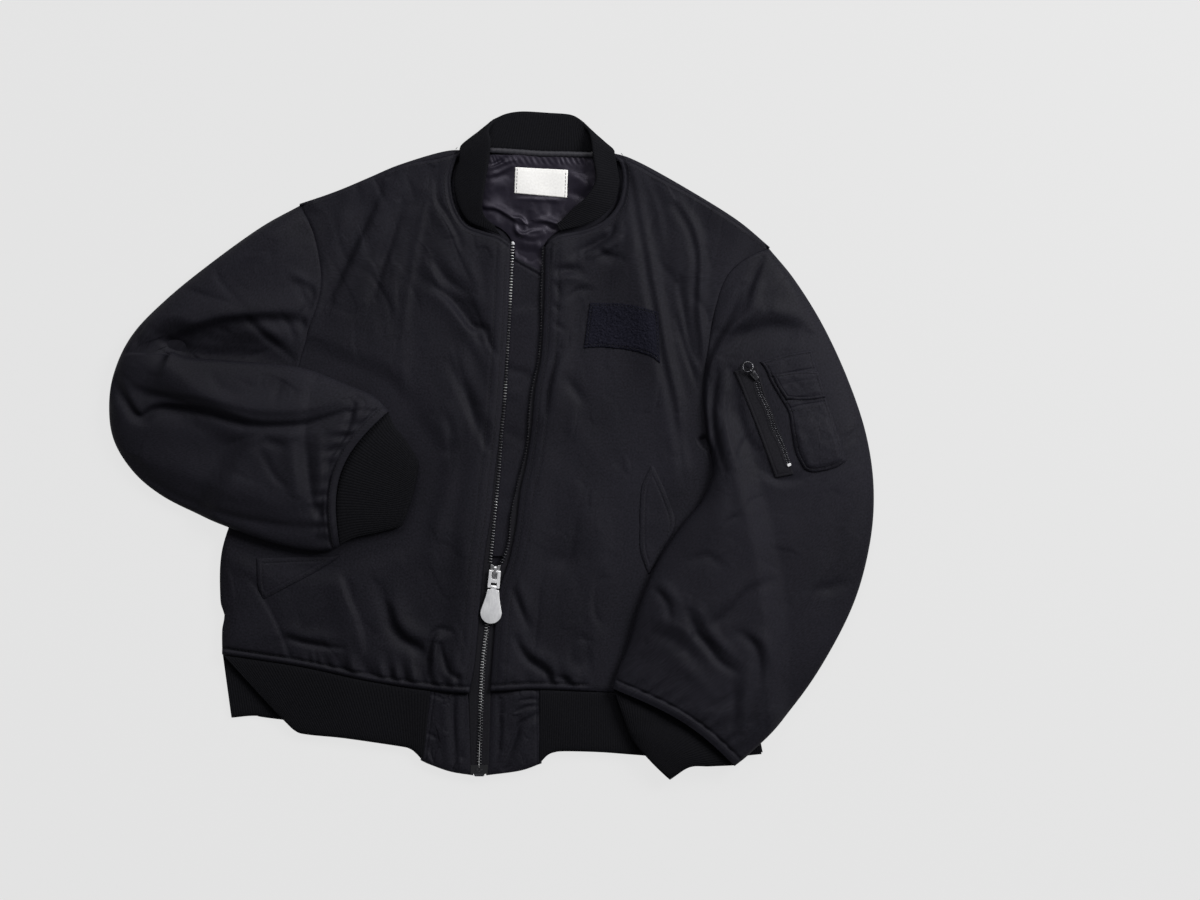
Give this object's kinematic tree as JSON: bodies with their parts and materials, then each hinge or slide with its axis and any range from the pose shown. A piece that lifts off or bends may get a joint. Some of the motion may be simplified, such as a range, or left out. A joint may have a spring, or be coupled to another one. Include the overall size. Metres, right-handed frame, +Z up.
{
  "type": "flight jacket laid flat",
  "caption": "Padded flight jacket laid flat with rib collar, cuffs and hem, open front zip, one sleeve folded at the elbow over the front.",
  "frame": {"origin": "centre of the jacket's plan outline, on the surface it lies on", "axes": "+X to the wearer's left (the viewer's right), +Y to the collar, +Z up from the surface, out of the jacket's front"},
  "size_m": [0.828, 0.724, 0.0405],
  "materials": {
    "shell": "black padded nylon twill with a soft satin sheen",
    "rib_knit": "black doubled rib knit, matt",
    "lining": "dark purple-grey satin lining",
    "piping": "grey woven neck binding",
    "label": "off-white woven label, left bare",
    "hook_and_loop": "dark navy fuzzy loop patch",
    "zip_tape": "black woven zip tape",
    "zip_metal": "lightly brushed silver metal",
    "zip_teeth": "darkened metal teeth",
    "thread": "black sewing thread"
  },
  "bodies": {
    "jacket": {"back_panel": "shell", "front_right": "shell", "front_left": "shell", "sleeve_right": "shell", "sleeve_left": "shell", "cuff_right": "rib_knit", "cuff_left": "rib_knit", "hem_rib_back": "rib_knit", "hem_rib_right": "rib_knit", "hem_rib_left": "rib_knit", "hem_block_right": "shell", "hem_block_left": "shell", "collar_rib": "rib_knit", "back_lining": "lining", "neck_piping": "piping", "label": "label", "wind_flap": "shell", "zip_tape_right": "zip_tape", "zip_tape_left": "zip_tape", "zip_box": "zip_metal", "zip_slider": "zip_metal", "chest_patch": "hook_and_loop", "pocket_flap_right": "shell", "pocket_flap_left": "shell", "pocket_zip_tape": "zip_tape", "sleeve_pocket": "shell", "pen_pocket": "shell", "pocket_slider": "zip_metal"},
    "link": {"zip_link": "zip_metal"},
    "tab": {"zip_tab": "zip_metal"},
    "ring": {"pocket_ring": "zip_metal"}
  },
  "joints": [
    {"name": "zip_link_hinge", "type": "hinge", "parent": "jacket", "child": "link", "pos_m": [0.00429, -0.136, 0.0153], "axis": [-0.9956, 0.0941, 0], "range_deg": [0, 120]},
    {"name": "zip_tab_hinge", "type": "hinge", "parent": "link", "child": "tab", "pos_m": [0.00269, -0.15293, 0.0153], "axis": [-0.9956, 0.0941, 0], "range_deg": [0, 60]},
    {"name": "pocket_ring_hinge", "type": "hinge", "parent": "jacket", "child": "ring", "pos_m": [0.27994, 0.0802, 0.03075], "axis": [0.788, 0.6157, 0], "range_deg": [0, 120]}
  ]
}
